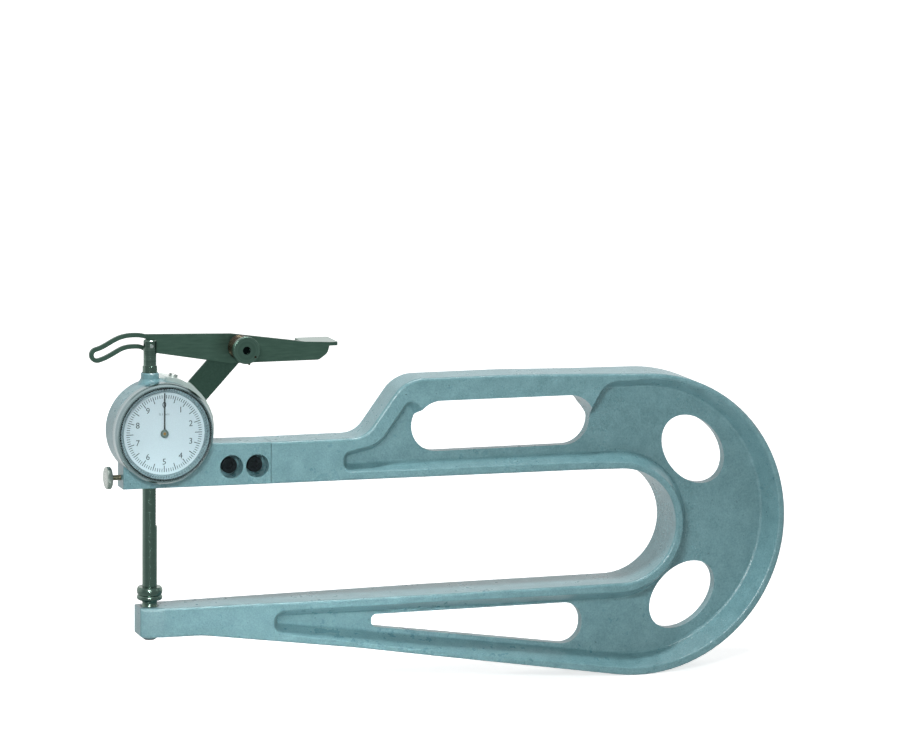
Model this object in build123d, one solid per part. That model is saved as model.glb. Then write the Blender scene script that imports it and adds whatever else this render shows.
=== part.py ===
from build123d import *
import math
import os

# Deep-throat dial thickness gauge: a C-shaped casting, a dial head lapped to its
# upper arm, a sliding spindle over a fixed anvil, and a thumb lever that lifts it.
# Millimetres. +X runs from the spindle into the throat, +Y away from the reader of
# the dial, +Z up. The origin is the centre of the anvil's measuring face.

# Casting: throat and outline
throat_depth = 300.0
throat_radius = 32.2
roof_flare = 1.1
anvil_stand = 6.2
arm_depth = 22.9
tip_depth = 16.1
arm_overhang = 6.9
bend_radius = 85.5
bend_inset = 19.6
crest_x = 200.0
crest_round = 200.0
shoulder_x = 141.0
shoulder_rise = 31.4
slope_angle = 54.0
shoulder_round = 20.0
foot_round = 14.0
heel_x = 27.0
heel_round = 60.0
knee_x = 115.0
knee_drop = 11.7
knee_round = 200.0
tip_round = 1.6

# Casting: thickness from front to back, seen from above
head_thickness = 13.0
joint_thickness = 20.4
bend_thickness = 31.0
upper_wide_x = 245.0
upper_wide = 23.4
upper_full_x = 292.0
nose_thickness = 13.6
nose_length = 12.0
lower_thin = 20.7
lower_full_x = 160.0
nose_round = 10.0
plan_round = 90.0
edge_round = 1.6
rim_round = 0.9

# Casting: web, pockets and windows
web = 6.0
draft = 25.0
high_rim = 8.8
low_rim = 10.7
outer_rim = 9.4
pocket_shift = 1.0
lower_rim = 8.4
slope_rim = 11.9
pocket_start_x = 109.5
pocket_start_height = 4.7
pocket_step = 3.6
pocket_peak = 22.9
peak_round = 1.2
pocket_corner = 1.4
pocket_bend_round = 20.0
band_round = 7.0
pocket_floor_round = 1.5
lower_pocket_x = 71.0
lower_pocket_height = 4.1
pocket_fan = 1.6
slot_left_x = 147.0
slot_length = 104.3
slot_height = 29.2
slot_rise = 13.4
band_end_slope = 60.0
oval_long = 44.4
oval_short = 32.0
oval_orbit = 52.0
oval_up_angle = 49.7
oval_down_angle = -56.4
oval_turn = 0.845
wedge_left_x = 125.0
wedge_length = 124.0
wedge_lip = 1.0
wedge_foot = 2.4
wedge_tip_round = 2.9
wedge_round = 11.0

# Lap joint between the head and the upper arm
joint_x = 65.0
lap_length = 31.0
lap_y = 3.0
joint_gap = 0.3
screw_pitch = 14.3
screw_from_joint = 7.6
screw_drop = 12.7
cap_head_radius = 4.25
cap_head_height = 5.0
cap_screw_radius = 2.5
counterbore_radius = 6.4
counterbore_web = 3.0
hex_across = 4.0
screw_clearance = 0.2

# Head and dial
head_left = 16.2
head_rise = 1.6
dial_z = 90.2
case_radius = 27.2
case_back = 8.0
case_front = 9.0
cavity_radius = 20.5
spigot_radius = 25.0
spigot_length = 2.2
spigot_wall = 1.9
neck_radius = 4.9
neck_height = 4.4
cover_radius = 23.6
cover_thickness = 1.6
bezel_radius = 27.3
bezel_depth = 7.8
bezel_gap = 0.3
bezel_curve = 4.0
bezel_lip = 0.6
cone_radius = 22.3
cone_wall = 0.5
dial_sink = 7.0
plate_sink = 1.4
plate_thickness = 1.0
running = 0.06
seat_gap = 0.05
small_screw_radius = 0.8
small_screw_length = 3.0
small_head_radius = 1.2
bridge_thickness = 0.9
hub_bore = 2.3
dial_thickness = 0.5
crystal_radius = 25.3
crystal_thickness = 1.3
crystal_sink = 0.1
crystal_ledge = 0.9
crystal_shelf = 0.5

# Spindle, anvil and measuring faces
spindle_radius = 4.0
spindle_tip_radius = 3.5
spindle_shoulder_z = 124.8
spindle_top_z = 139.0
travel = 50.0
contact_radius = 7.0
contact_height = 4.4
anvil_height = 2.6
anvil_neck_radius = 4.0
anvil_foot_radius = 4.6
rim_bulge = 0.7
anvil_pit_radius = 5.0
anvil_hole_depth = 8.5
anvil_screw_radius = 2.5
anvil_screw_head = 3.5
stud_radius = 2.0
stud_length = 7.0
chamfer_small = 0.5

# Rack, pinion and take-up wheel: ten millimetres of lift turn the pointer once
lift_per_turn = 10.0
pinion_teeth = 12
wheel_teeth = 60
addendum = 0.20
dedendum = 0.30
backlash = 0.16
flank_angle = 20.0
rack_pitch_x = 2.75
rack_spare = 3
arbor_radius = 0.8
wheel_angle = -45.0
pinion_gap = 0.3
pinion_clear = 1.2
wheel_gap = 0.5
bridge_gap = 0.7
collet_radius = 1.5
collet_height = 1.3
hairspring_gap = 0.3
hairspring_wire = 0.25
hairspring_height = 0.7
stud_radius = 0.6
stud_stand = 1.4
stud_height = 1.2
stud_bar = 0.8
wheel_thickness = 0.7
hairspring_start = 1.9
hairspring_pitch = 1.1
hairspring_turns = 3
pillar_radius = 1.5
pillar_orbit = 16.5
pointer_length = 21.9
pointer_gap = 1.3
pointer_root = 0.4
pointer_tip = 0.3
pointer_thickness = 0.25

# Lever, bracket and pivot
pivot_x = 50.4
pivot_z = 133.0
lever_ratio = 0.0164
pin_rise = 3.0
pin_radius = 1.0
fork_slot = 3.8
fork_prong = 2.3
slot_play = 0.75
lever_thickness = 2.0
lever_gap = 0.7
pad_width = 20.0
pad_length = 19.0
pad_left_x = 88.0
sheet = 1.4
strap_low = -6.0
strap_high = 84.0
strap_screw_low = 10.5
strap_screw_high = 73.0
arm_foot_angle = 37.5
arm_end_radius = 6.2
strap_front = 6.5
strap_thickness = 2.4
bracket_width = 14.5
washer_gap = 0.35
pivot_head_radius = 7.4
pivot_head_height = 3.0
pivot_radius = 3.0
pivot_reach = 16.4
pivot_thread = 2.5
nut_across = 8.0
nut_height = 3.2
pad_rise = 0.3
lever_above = 7.0
fork_shoulder_x = -9.0
fork_shoulder_rise = 8.6
lever_below = 9.2
fork_tail = 5.5
strap_screw_radius = 1.5
strap_screw_length = 5.0
strap_screw_y = 1.2
spring_anchor_angle = -37.0
spring_wire = 0.6
spring_radius = 6.1
spring_turns = 8

# Clamp screw
clamp_rise = 5.7
clamp_radius = 1.5
knob_radius = 6.1
knob_thickness = 3.0
knob_stand = 5.4

# Places worked out from the values above
throat_x = throat_depth - throat_radius
floor_z = -anvil_stand
centre_z = floor_z + throat_radius
roof_end = floor_z + 2 * throat_radius
roof_z = roof_end + roof_flare
arm_top = roof_z + arm_depth
arm_bottom = floor_z - tip_depth
bend_x = throat_depth - bend_inset
shoulder_z = arm_top + shoulder_rise
foot_x = shoulder_x - shoulder_rise / math.tan(math.radians(slope_angle))
lap_x = joint_x - lap_length
tooth_pitch = lift_per_turn / pinion_teeth
pinion_radius = lift_per_turn / (2 * math.pi)
dial_x = rack_pitch_x + pinion_radius
wheel_radius = pinion_radius * wheel_teeth / pinion_teeth
bezel_back = -case_front - bezel_gap
bezel_front = bezel_back - bezel_depth
plate_back = -case_front + plate_sink
plate_front = plate_back - plate_thickness
wheel_front = plate_back + wheel_gap
bridge_front = spindle_radius + bridge_gap
dial_front = bezel_front + dial_sink
dial_back = dial_front + dial_thickness
pointer_front = dial_front - pointer_gap
lever_front = spindle_tip_radius + lever_gap
lever_back = lever_front + lever_thickness
bracket_front = lever_back + washer_gap
pivot_face = lever_front - pivot_reach
clamp_z = roof_z + clamp_rise


def at_depth(y):
    """Plane facing the reader at depth y, with its axes along X and Z."""
    return Plane(origin=(0, y, 0), x_dir=(1, 0, 0), z_dir=(0, -1, 0))


def plate(outline, front, back):
    """Solid of an X-Z outline between two depths."""
    return extrude(at_depth(back) * outline, amount=back - front)


def drum(x, z, radius, front, back):
    """Cylinder along Y."""
    return plate(Pos(x, z) * Circle(radius), front, back)


def rod_z(x, y, radius, low, high):
    """Cylinder along Z."""
    return extrude(Plane(origin=(x, y, low)) * Circle(radius), amount=high - low)


def rod_x(z, radius, left, right):
    """Cylinder along X through the spindle's centre plane."""
    ground = Plane(origin=(left, 0, z), x_dir=(0, 1, 0), z_dir=(1, 0, 0))
    return extrude(ground * Circle(radius), amount=right - left)


def turned_y(points, x, z):
    """Body turned about a Y axis, from (radius, depth) points."""
    profile = Plane(origin=(x, 0, z)) * make_face(Polyline(*points, close=True))
    return revolve(profile, Axis((x, 0, z), (0, 1, 0)), 360)


def turned_z(points):
    """Body turned about the spindle axis, from (radius, height) points."""
    return revolve(Plane.XZ * make_face(Polyline(*points, close=True)), Axis.Z, 360)


def near(shape, x, z):
    """Corner of a flat outline closest to a point."""
    return shape.vertices().sort_by_distance((x, z, 0))[0]


def rounded(outline, corners):
    """Round the corners of an outline, given as (x, z, radius)."""
    for x, z, radius in corners:
        outline = fillet(near(outline, x, z), radius)
    return outline


def touch(x, z, centre_x, centre_height, radius, turn):
    """Where a line from (x, z) touches a circle; turn picks the side."""
    away = math.hypot(x - centre_x, z - centre_height)
    base = math.atan2(z - centre_height, x - centre_x)
    angle = base + turn * math.acos(radius / away)
    return (centre_x + radius * math.cos(angle), centre_height + radius * math.sin(angle))


def on_dial(radius, degrees):
    """Point at a radius and angle about the dial's centre."""
    angle = math.radians(degrees)
    return (dial_x + radius * math.cos(angle), dial_z + radius * math.sin(angle))


def hexagon(x, z, across):
    """Hexagon of a given width across its flats."""
    return Pos(x, z) * RegularPolygon(across / 2, 6, major_radius=False)


def plan_half(x):
    """Half thickness of the head, which widens towards the joint."""
    share = (x + head_left) / (joint_x + head_left)
    return (head_thickness + share * (joint_thickness - head_thickness)) / 2


def block_top(x):
    """Height of the head block's top, which rises towards the case."""
    share = (joint_x - x) / (joint_x + head_left)
    return arm_top + max(0, share) * head_rise


def plan_half_solid(side, low, rounds):
    """Solid with a thickness profile seen from above, given as (x, half thickness)."""
    other = [(x, -y) for x, y in reversed(side)]
    outline = make_face(Polyline(*side, *other, close=True))
    for x, y, radius in rounds:
        for sign in (1, -1):
            outline = fillet(near(outline, x, sign * y), radius)
    return extrude(Plane(origin=(0, 0, low)) * outline, amount=2 * bend_radius)


def plan_solid():
    """Thickness of the upper arm above the throat's centre, of the lower arm below it."""
    far = bend_x + bend_radius + 10
    full = bend_thickness / 2
    start = -head_left - 10
    upper = [(start, plan_half(start)), (joint_x, joint_thickness / 2)]
    upper += [(upper_wide_x, upper_wide / 2), (upper_full_x, full), (far, full)]
    rounds = [(x, y, plan_round) for x, y in upper[1:-1]]
    high = plan_half_solid(upper, centre_z, rounds)
    growth = (lower_thin - nose_thickness) / 2
    lower = [(-arm_overhang - nose_length, nose_thickness / 2 - growth)]
    lower += [(-arm_overhang + nose_length, lower_thin / 2)]
    lower += [(lower_full_x, full), (far, full)]
    rounds = [(*lower[1], nose_round), (*lower[2], plan_round)]
    return high + plan_half_solid(lower, centre_z - 2 * bend_radius, rounds)


def casting_outline():
    """Front view of the C-shaped casting, with the tongue that enters the head."""
    knee_z = arm_bottom - knee_drop
    low = touch(knee_x, knee_z, bend_x, centre_z, bend_radius, 1)
    high = touch(crest_x, shoulder_z, bend_x, centre_z, bend_radius, -1)
    tongue = lap_x + joint_gap / 2
    edges = Line((tongue, roof_z), (throat_x, roof_end))
    edges += ThreePointArc((throat_x, roof_end), (throat_depth, centre_z), (throat_x, floor_z))
    edges += Polyline((throat_x, floor_z), (-arm_overhang, floor_z), (-arm_overhang, arm_bottom),
                      (heel_x, arm_bottom), (knee_x, knee_z), low)
    edges += ThreePointArc(low, (bend_x + bend_radius, centre_z), high)
    edges += Polyline(high, (crest_x, shoulder_z), (shoulder_x, shoulder_z), (foot_x, arm_top),
                      (joint_x, arm_top), (tongue, block_top(tongue)), (tongue, roof_z))
    corners = [(-arm_overhang, arm_bottom, tip_round), (heel_x, arm_bottom, heel_round)]
    corners += [(knee_x, knee_z, knee_round), (crest_x, shoulder_z, crest_round)]
    corners += [(shoulder_x, shoulder_z, shoulder_round), (foot_x, arm_top, foot_round)]
    return rounded(make_face(edges), corners)


def slope_edge(z, inset):
    """Place of the upper arm's sloping shoulder at height z, moved inwards."""
    slope = math.radians(slope_angle)
    return foot_x + (z - arm_top) / math.tan(slope) + inset / math.sin(slope)


def pocket_low():
    """Lower line of the pocket's floor: from below the knee to the bend's arc."""
    start = (knee_x, arm_bottom - knee_drop + lower_rim)
    middle = centre_z + pocket_shift
    return start, touch(*start, bend_x, middle, bend_radius - outer_rim, 1)


def slot_height_z():
    """Height of the slot's centre line."""
    return roof_end + slot_rise + slot_height / 2


def pocket_floor():
    """Outline of the pocket where it meets the web: one C from arm to arm."""
    high_line = roof_end + high_rim
    low_line = floor_z - low_rim
    inner = (high_line - low_line) / 2
    middle = centre_z + pocket_shift
    wide = bend_radius - outer_rim
    slot_z = slot_height_z()
    band_top = middle + wide
    band_foot = slot_left_x + slot_length - 1.0
    band_shift = (band_top - slot_z) / math.tan(math.radians(band_end_slope))
    knee, low_touch = pocket_low()
    tip_top = low_line + pocket_fan
    tip_low = tip_top - lower_pocket_height
    start_top = high_line + pocket_start_height
    bend_start = start_top + pocket_step
    peak_z = bend_start + pocket_peak
    peak = (slope_edge(peak_z, slope_rim), peak_z)
    bend = (slope_edge(bend_start, slope_rim), bend_start)
    edges = Line((pocket_start_x, high_line), (throat_x, high_line))
    edges += ThreePointArc((throat_x, high_line), (throat_x + inner, high_line - inner),
                           (throat_x, low_line))
    edges += Polyline((throat_x, low_line), (lower_pocket_x, tip_top),
                      (lower_pocket_x, tip_low), knee, low_touch)
    edges += ThreePointArc(low_touch, (bend_x + wide, middle), (bend_x, band_top))
    edges += Polyline((bend_x, band_top), (band_foot + band_shift, band_top),
                      (band_foot, slot_z), (slot_left_x + 14, slot_z),
                      (slot_left_x + 2.5, slot_z + 5.5), peak, bend,
                      (pocket_start_x, start_top), (pocket_start_x, high_line))
    corners = [(pocket_start_x, high_line, pocket_corner), (pocket_start_x, start_top, pocket_corner)]
    corners += [(lower_pocket_x, tip_top, pocket_corner), (lower_pocket_x, tip_low, pocket_corner)]
    corners += [(band_foot + band_shift, band_top, band_round)]
    corners += [(*bend, pocket_bend_round), (*peak, peak_round)]
    return rounded(make_face(edges), corners)


def pocket_cutter():
    """Tool that sinks the front pocket: drafted walls and a rounded floor edge."""
    depth = bend_thickness / 2 - web / 2 + 3
    floor = at_depth(-web / 2) * pocket_floor()
    tool = extrude(floor, amount=depth, taper=-draft)
    base = tool.faces().sort_by(Axis.Y)[-1]
    return fillet(base.edges(), pocket_floor_round)


def windows():
    """Slot, two ovals and the wedge-shaped window, all right through the web."""
    middle = Pos(slot_left_x + slot_length / 2, slot_height_z())
    slot = middle * SlotOverall(slot_length, slot_height)
    wedge_top = floor_z - low_rim - wedge_lip
    left, right = wedge_left_x, wedge_left_x + wedge_length
    knee, end = pocket_low()
    slope = (end[1] - knee[1]) / (end[0] - knee[0])
    low_left = knee[1] + slope * (left - knee_x) + wedge_foot
    low_right = knee[1] + slope * (right - knee_x) + wedge_foot
    wedge = make_face(Polyline((left, wedge_top), (right, wedge_top),
                               (right, low_right), (left, low_left), close=True))
    corners = [(left, wedge_top, wedge_tip_round), (left, low_left, wedge_tip_round)]
    corners += [(right, wedge_top, wedge_round), (right, low_right, wedge_round)]
    outlines = [slot, rounded(wedge, corners)]
    for degrees in (oval_up_angle, oval_down_angle):
        angle = math.radians(degrees)
        place = Pos(bend_x + oval_orbit * math.cos(angle), centre_z + oval_orbit * math.sin(angle))
        oval = Rot(0, 0, oval_turn * degrees) * Ellipse(oval_short / 2, oval_long / 2)
        outlines.append(place * oval)
    return [plate(outline, -bend_thickness, bend_thickness) for outline in outlines]


def lap_holes(radius, front, back):
    """Pair of drums on the lap joint's screw axes."""
    places = [joint_x - screw_from_joint - n * screw_pitch for n in range(2)]
    return [drum(x, arm_top - screw_drop, radius, front, back) for x in places]


def make_frame():
    """The painted casting, with its pockets, windows, tongue and anvil seat."""
    deep = bend_thickness
    body = plate(casting_outline(), -deep, deep) & plan_solid()
    seams = [edge for edge in body.edges().filter_by(Axis.Z) if edge.center().X > 0]
    long_edges = body.edges().filter_by(Axis.Y, reverse=True)
    body = fillet([edge for edge in long_edges if edge not in seams], edge_round)
    front = pocket_cutter()
    known = [edge.center() for edge in body.edges()]
    body = body - front - mirror(front, about=Plane.XZ)
    rims = [e for e in body.edges() if abs(e.center().Y) > web]
    rims = [e for e in rims if min((e.center() - spot).length for spot in known) > 0.01]
    body = fillet(rims, rim_round)
    for window in windows():
        body = body - window
    cheek = Pos(lap_x, lap_y - deep / 2, (roof_z + arm_top) / 2)
    size = 2 * (lap_length + joint_gap / 2)
    body = body - cheek * Box(size, deep, 2 * arm_depth)
    for hole in lap_holes(cap_screw_radius + seat_gap, -deep, deep):
        body = body - hole
    boss = turned_z([(0, arm_bottom + 1), (5.2, arm_bottom + 1), (5.2, arm_bottom - 0.5),
                     (4.4, arm_bottom - 1.3), (0, arm_bottom - 1.3)])
    body = body + boss
    neck = anvil_neck_radius + seat_gap
    body = body - rod_z(0, 0, neck, floor_z - anvil_hole_depth, floor_z + 5)
    body = body - rod_z(0, 0, anvil_pit_radius, floor_z - 1.2, floor_z + 5)
    return body - rod_z(0, 0, anvil_screw_radius + seat_gap, arm_bottom - 5, floor_z)


def make_head():
    """Dial case and lap block in one casting."""
    deep = bend_thickness
    right = joint_x - joint_gap / 2
    block = make_face(Polyline((-head_left, roof_z), (right, roof_z), (right, arm_top),
                               (-head_left, block_top(-head_left)), close=True))
    body = plate(block, -deep, deep) & plan_solid()
    corner = body.edges().filter_by(Axis.Y, reverse=True)
    keep = [e for e in corner if e.center().X < right - 0.01]
    body = fillet(keep, edge_round / 2)
    case = drum(dial_x, dial_z, case_radius, -case_front, case_back)
    case = fillet(case.edges().sort_by(Axis.Y)[-1], 2.0)
    body = body + case
    case_top = dial_z + math.sqrt(case_radius ** 2 - dial_x ** 2)
    neck_top = case_top + neck_height
    neck = turned_z([(0, case_top - 6), (neck_radius + 2.6, case_top - 3),
                     (neck_radius + 1.2, case_top - 0.6), (neck_radius, case_top + 1.2),
                     (neck_radius, neck_top - 0.6), (neck_radius - 0.6, neck_top), (0, neck_top)])
    body = body + neck
    body = body + drum(dial_x, dial_z, spigot_radius, -case_front - spigot_length, 0)
    body = body - drum(dial_x, dial_z, cavity_radius, -deep, deep)
    recess = cover_radius + seat_gap
    body = body - drum(dial_x, dial_z, recess, case_back - cover_thickness, deep)
    body = body - drum(dial_x, dial_z, movement_ring(), -deep, plate_back)
    lap = Pos(lap_x + lap_length, lap_y + deep / 2, (roof_z + arm_top) / 2)
    body = body - lap * Box(2 * lap_length + joint_gap, deep, 2 * arm_depth)
    for hole in lap_holes(cap_screw_radius + screw_clearance, -deep, deep):
        body = body - hole
    for hole in lap_holes(counterbore_radius, -deep, lap_y - counterbore_web):
        body = body - hole
    hole = small_screw_radius + seat_gap
    for x, z in plate_screw_places():
        body = body - drum(x, z, hole, plate_back - 1, plate_back + small_screw_length + 0.5)
    for x, z in cover_screw_places():
        front = case_back - cover_thickness - small_screw_length - 0.5
        body = body - drum(x, z, hole, front, case_back)
    start = case_radius - strap_screw_length - 0.4
    for hole in strap_drums(strap_screw_radius + seat_gap, start, case_radius + 2):
        body = body - hole
    body = body - rod_z(0, 0, spindle_radius + 4 * running, dial_z, neck_top + 5)
    bush = bush_radius() + seat_gap
    body = body - rod_z(0, 0, bush, roof_z - 5, dial_z)
    body = body - rod_z(0, 0, bush, dial_z, case_top - 0.5)
    return body - rod_x(clamp_z, clamp_radius + running, -case_radius - 10, 0)


def bush_radius():
    """Outside of the spindle's guide bushes."""
    return spindle_radius + 1.0


def make_bush(low, high):
    """Guide bush pressed in the head, in running fit on the spindle."""
    bush = rod_z(0, 0, bush_radius(), low, high)
    return bush - rod_z(0, 0, spindle_radius + running, low - 1, high + 1)


def make_upper_bush():
    inside = dial_z + math.sqrt(cavity_radius ** 2 - (dial_x + bush_radius()) ** 2)
    case_top = dial_z + math.sqrt(case_radius ** 2 - dial_x ** 2)
    return make_bush(inside, case_top - 0.6)


def make_lower_bush():
    inside = dial_z - math.sqrt(cavity_radius ** 2 - (dial_x + bush_radius()) ** 2)
    bush = make_bush(roof_z + 0.3, inside)
    return bush - rod_x(clamp_z, clamp_radius + running, -2 * bush_radius(), 0)


def rack_low():
    """Lowest point of the rack, which meets the pinion at full lift."""
    return dial_z - travel - rack_spare * tooth_pitch


def make_spindle():
    """Round measuring spindle with the rack cut along its side."""
    body = turned_z([(0, contact_height), (spindle_radius, contact_height),
                     (spindle_radius, spindle_shoulder_z),
                     (spindle_tip_radius, spindle_shoulder_z + 0.3),
                     (spindle_tip_radius, spindle_top_z - chamfer_small),
                     (spindle_tip_radius - chamfer_small, spindle_top_z), (0, spindle_top_z)])
    flat = rack_pitch_x + addendum
    high = dial_z + rack_spare * tooth_pitch
    count = round((high - rack_low()) / tooth_pitch)
    points = [(flat + 3, rack_low()), (flat, rack_low())]
    lean = math.tan(math.radians(flank_angle))
    half_gap = (tooth_pitch / 2 + backlash) / 2
    for n in range(count):
        gap_z = rack_low() + (n + 0.5) * tooth_pitch
        wide = half_gap + addendum * lean
        slim = half_gap - dedendum * lean
        points += [(flat, gap_z - wide), (rack_pitch_x - dedendum, gap_z - slim)]
        points += [(rack_pitch_x - dedendum, gap_z + slim), (flat, gap_z + wide)]
    points += [(flat, high), (flat + 3, high)]
    body = body - plate(make_face(Polyline(*points, close=True)), -10, 10)
    bore = stud_radius + seat_gap
    body = body - rod_z(0, 0, bore, contact_height - 1, contact_height + stud_length)
    hole_z = pivot_z + pin_rise
    return body - drum(0, hole_z, pin_radius + seat_gap / 2, -10, 10)


def make_contact():
    """Flat contact disc on the spindle's lower end, with its threaded stud."""
    edge = contact_radius - rim_bulge
    stud_top = contact_height + stud_length - 0.5
    profile = ThreePointArc((edge, 0), (contact_radius, contact_height / 2),
                            (edge, contact_height))
    profile += Polyline((edge, contact_height), (stud_radius, contact_height),
                        (stud_radius, stud_top), (0, stud_top), (0, 0), (edge, 0))
    return revolve(Plane.XZ * make_face(profile), Axis.Z, 360)


def make_anvil():
    """Fixed anvil: a disc on a waisted neck that is seated in the lower arm."""
    edge = contact_radius - rim_bulge
    low = floor_z - anvil_hole_depth
    foot = floor_z - 0.3
    waist = (anvil_neck_radius, (foot - anvil_height) / 2)
    profile = ThreePointArc((edge, -anvil_height), (contact_radius, -anvil_height / 2), (edge, 0))
    profile += Polyline((edge, 0), (0, 0), (0, low), (anvil_neck_radius, low),
                        (anvil_neck_radius, foot - 0.5), (anvil_foot_radius, foot))
    profile += ThreePointArc((anvil_foot_radius, foot), waist, (anvil_foot_radius, -anvil_height))
    profile += Line((anvil_foot_radius, -anvil_height), (edge, -anvil_height))
    body = revolve(Plane.XZ * make_face(profile), Axis.Z, 360)
    return body - rod_z(0, 0, anvil_screw_radius + seat_gap, low - 1, low + 4.5)


def make_anvil_screw():
    """Screw from below that draws the anvil down."""
    head_low = arm_bottom - 2.3
    return turned_z([(0, head_low), (anvil_screw_head - 0.4, head_low),
                     (anvil_screw_head, head_low + 0.4), (anvil_screw_head, arm_bottom - 1.3),
                     (anvil_screw_radius, arm_bottom - 1.3),
                     (anvil_screw_radius, floor_z - anvil_hole_depth + 4),
                     (0, floor_z - anvil_hole_depth + 4)])


def gear_outline(teeth, radius, phase, x, z):
    """Straight-flanked gear; phase is the angle of one tooth's centre, in degrees."""
    pitch_angle = 2 * math.pi / teeth
    half = (tooth_pitch / 2 - backlash) / 2
    lean = math.tan(math.radians(flank_angle))
    outer = radius + addendum
    inner = radius - dedendum
    points = []
    for n in range(teeth):
        middle = math.radians(phase) + n * pitch_angle
        wide = (half + dedendum * lean * 0.5) / inner
        slim = (half - addendum * lean) / outer
        for angle, size in ((-wide, inner), (-slim, outer), (slim, outer), (wide, inner)):
            spot = middle + angle
            points.append((x + size * math.cos(spot), z + size * math.sin(spot)))
    return make_face(Polyline(*points, close=True))


def wheel_place():
    """Centre of the take-up wheel, in mesh with the pointer's pinion."""
    angle = math.radians(wheel_angle)
    span = pinion_radius + wheel_radius
    return (dial_x + span * math.cos(angle), dial_z + span * math.sin(angle))


def make_pinion():
    """Pointer arbor with its long pinion."""
    phase = 180 - 180 / pinion_teeth
    outline = gear_outline(pinion_teeth, pinion_radius, phase, dial_x, dial_z)
    teeth = plate(outline, plate_back + pinion_gap, bridge_front - pinion_clear)
    arbor = drum(dial_x, dial_z, arbor_radius, pointer_front - 0.4, bridge_front + bridge_thickness)
    return teeth + arbor


def make_take_up_wheel():
    """Wheel that takes up the play of the teeth."""
    x, z = wheel_place()
    phase = wheel_angle + 180 + 180 / wheel_teeth
    outline = gear_outline(wheel_teeth, wheel_radius, phase, x, z)
    outline -= Pos(x, z) * Circle(arbor_radius + seat_gap)
    for n in range(4):
        spot = math.radians(45 + 90 * n)
        spoke_x = x + 0.52 * wheel_radius * math.cos(spot)
        spoke_z = z + 0.52 * wheel_radius * math.sin(spot)
        outline -= Pos(spoke_x, spoke_z) * Circle(0.26 * wheel_radius)
    return plate(outline, wheel_front, wheel_front + wheel_thickness)


def make_take_up_arbor():
    """Arbor of the take-up wheel, with the hairspring's collet."""
    x, z = wheel_place()
    front = wheel_front + wheel_thickness
    arbor = drum(x, z, arbor_radius, plate_front + 0.2, bridge_front + bridge_thickness)
    return arbor + drum(x, z, collet_radius, front, front + collet_height)


def make_hairspring():
    """Flat spiral spring around the take-up arbor."""
    x, z = wheel_place()
    front = wheel_front + wheel_thickness + hairspring_gap
    steps = 12
    inner, outer = [], []
    for n in range(hairspring_turns * steps + 1):
        angle = 2 * math.pi * n / steps
        reach = hairspring_start + hairspring_pitch * n / steps
        inner.append((x + reach * math.cos(angle), z + reach * math.sin(angle)))
        reach = reach + hairspring_wire
        outer.append((x + reach * math.cos(angle), z + reach * math.sin(angle)))
    outline = make_face(Polyline(*inner, *reversed(outer), close=True))
    return plate(outline, front, front + hairspring_height)


def movement_ring():
    """Outside of the movement plate, which is seated inside the spigot."""
    return spigot_radius - spigot_wall


def plate_screw_places():
    """Centres of the movement plate's screws, on the land round the cavity."""
    orbit = (cavity_radius + movement_ring()) / 2
    return [on_dial(orbit, 30 + 120 * n) for n in range(3)]


def cover_screw_places():
    """Centres of the back cover's screws, on the land behind the cavity."""
    orbit = (cavity_radius + cover_radius) / 2
    return [on_dial(orbit, 90 + 120 * n) for n in range(3)]


def pillar_places():
    """Centres of the movement's pillars, clear of the spindle and the wheel."""
    return [on_dial(pillar_orbit, degrees) for degrees in (50, 145, 215, 282)]


def arbor_places():
    """Centres of the two arbors."""
    return [(dial_x, dial_z), wheel_place()]


def make_movement_plate():
    """Front plate of the movement, seated in the head behind the dial."""
    body = drum(dial_x, dial_z, movement_ring() - seat_gap, plate_front, plate_back)
    for x, z in arbor_places():
        body = body - drum(x, z, arbor_radius + running, -20, 0)
    for x, z in plate_screw_places():
        body = body - drum(x, z, small_screw_radius + seat_gap, -20, 0)
    return body


def make_plate_screws():
    """Three small screws that hold the movement in the head."""
    screws = []
    for x, z in plate_screw_places():
        shank = drum(x, z, small_screw_radius, plate_front, plate_back + small_screw_length)
        screws.append(shank + drum(x, z, small_head_radius, plate_front - 0.5, plate_front))
    return Compound(screws)


def make_rear_bridge():
    """Rear bridge that carries the arbors behind the spindle."""
    body = drum(dial_x, dial_z, pillar_orbit + pillar_radius + 0.6, bridge_front,
                bridge_front + bridge_thickness)
    for x, z in arbor_places():
        body = body - drum(x, z, arbor_radius + running, 0, 20)
    for x, z in pillar_places():
        body = body - drum(x, z, small_screw_radius + seat_gap, 0, 20)
    return body


def make_pillars():
    """Four pillars between the movement plate and the bridge, with their end screws."""
    pillars = []
    for x, z in pillar_places():
        pillar = drum(x, z, pillar_radius, plate_back, bridge_front)
        end = drum(x, z, small_screw_radius, bridge_front, bridge_front + bridge_thickness)
        pillars.append(pillar + end)
    return Compound(pillars)


def make_hairspring_stud():
    """Post on the movement plate that holds the hairspring's outer end."""
    x, z = wheel_place()
    reach = hairspring_start + hairspring_turns * hairspring_pitch + hairspring_wire
    back = wheel_front + wheel_thickness + stud_height
    middle = x + wheel_radius + stud_stand
    foot = drum(middle, z, stud_radius, plate_back, back)
    left = x + reach + 0.1
    bar = make_face(Polyline((left, z - stud_bar / 2), (middle, z - stud_bar / 2),
                             (middle, z + stud_bar / 2), (left, z + stud_bar / 2), close=True))
    return foot + plate(bar, back - stud_bar, back)


def make_pointer():
    """Blade of the pointer, from its hub to the scale."""
    blade = make_face(Polyline((dial_x - pointer_root, dial_z), (dial_x + pointer_root, dial_z),
                               (dial_x + pointer_tip, dial_z + pointer_length),
                               (dial_x - pointer_tip, dial_z + pointer_length), close=True))
    blade -= Pos(dial_x, dial_z) * Circle(hub_bore)
    return plate(blade, pointer_front, pointer_front + pointer_thickness)


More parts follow.
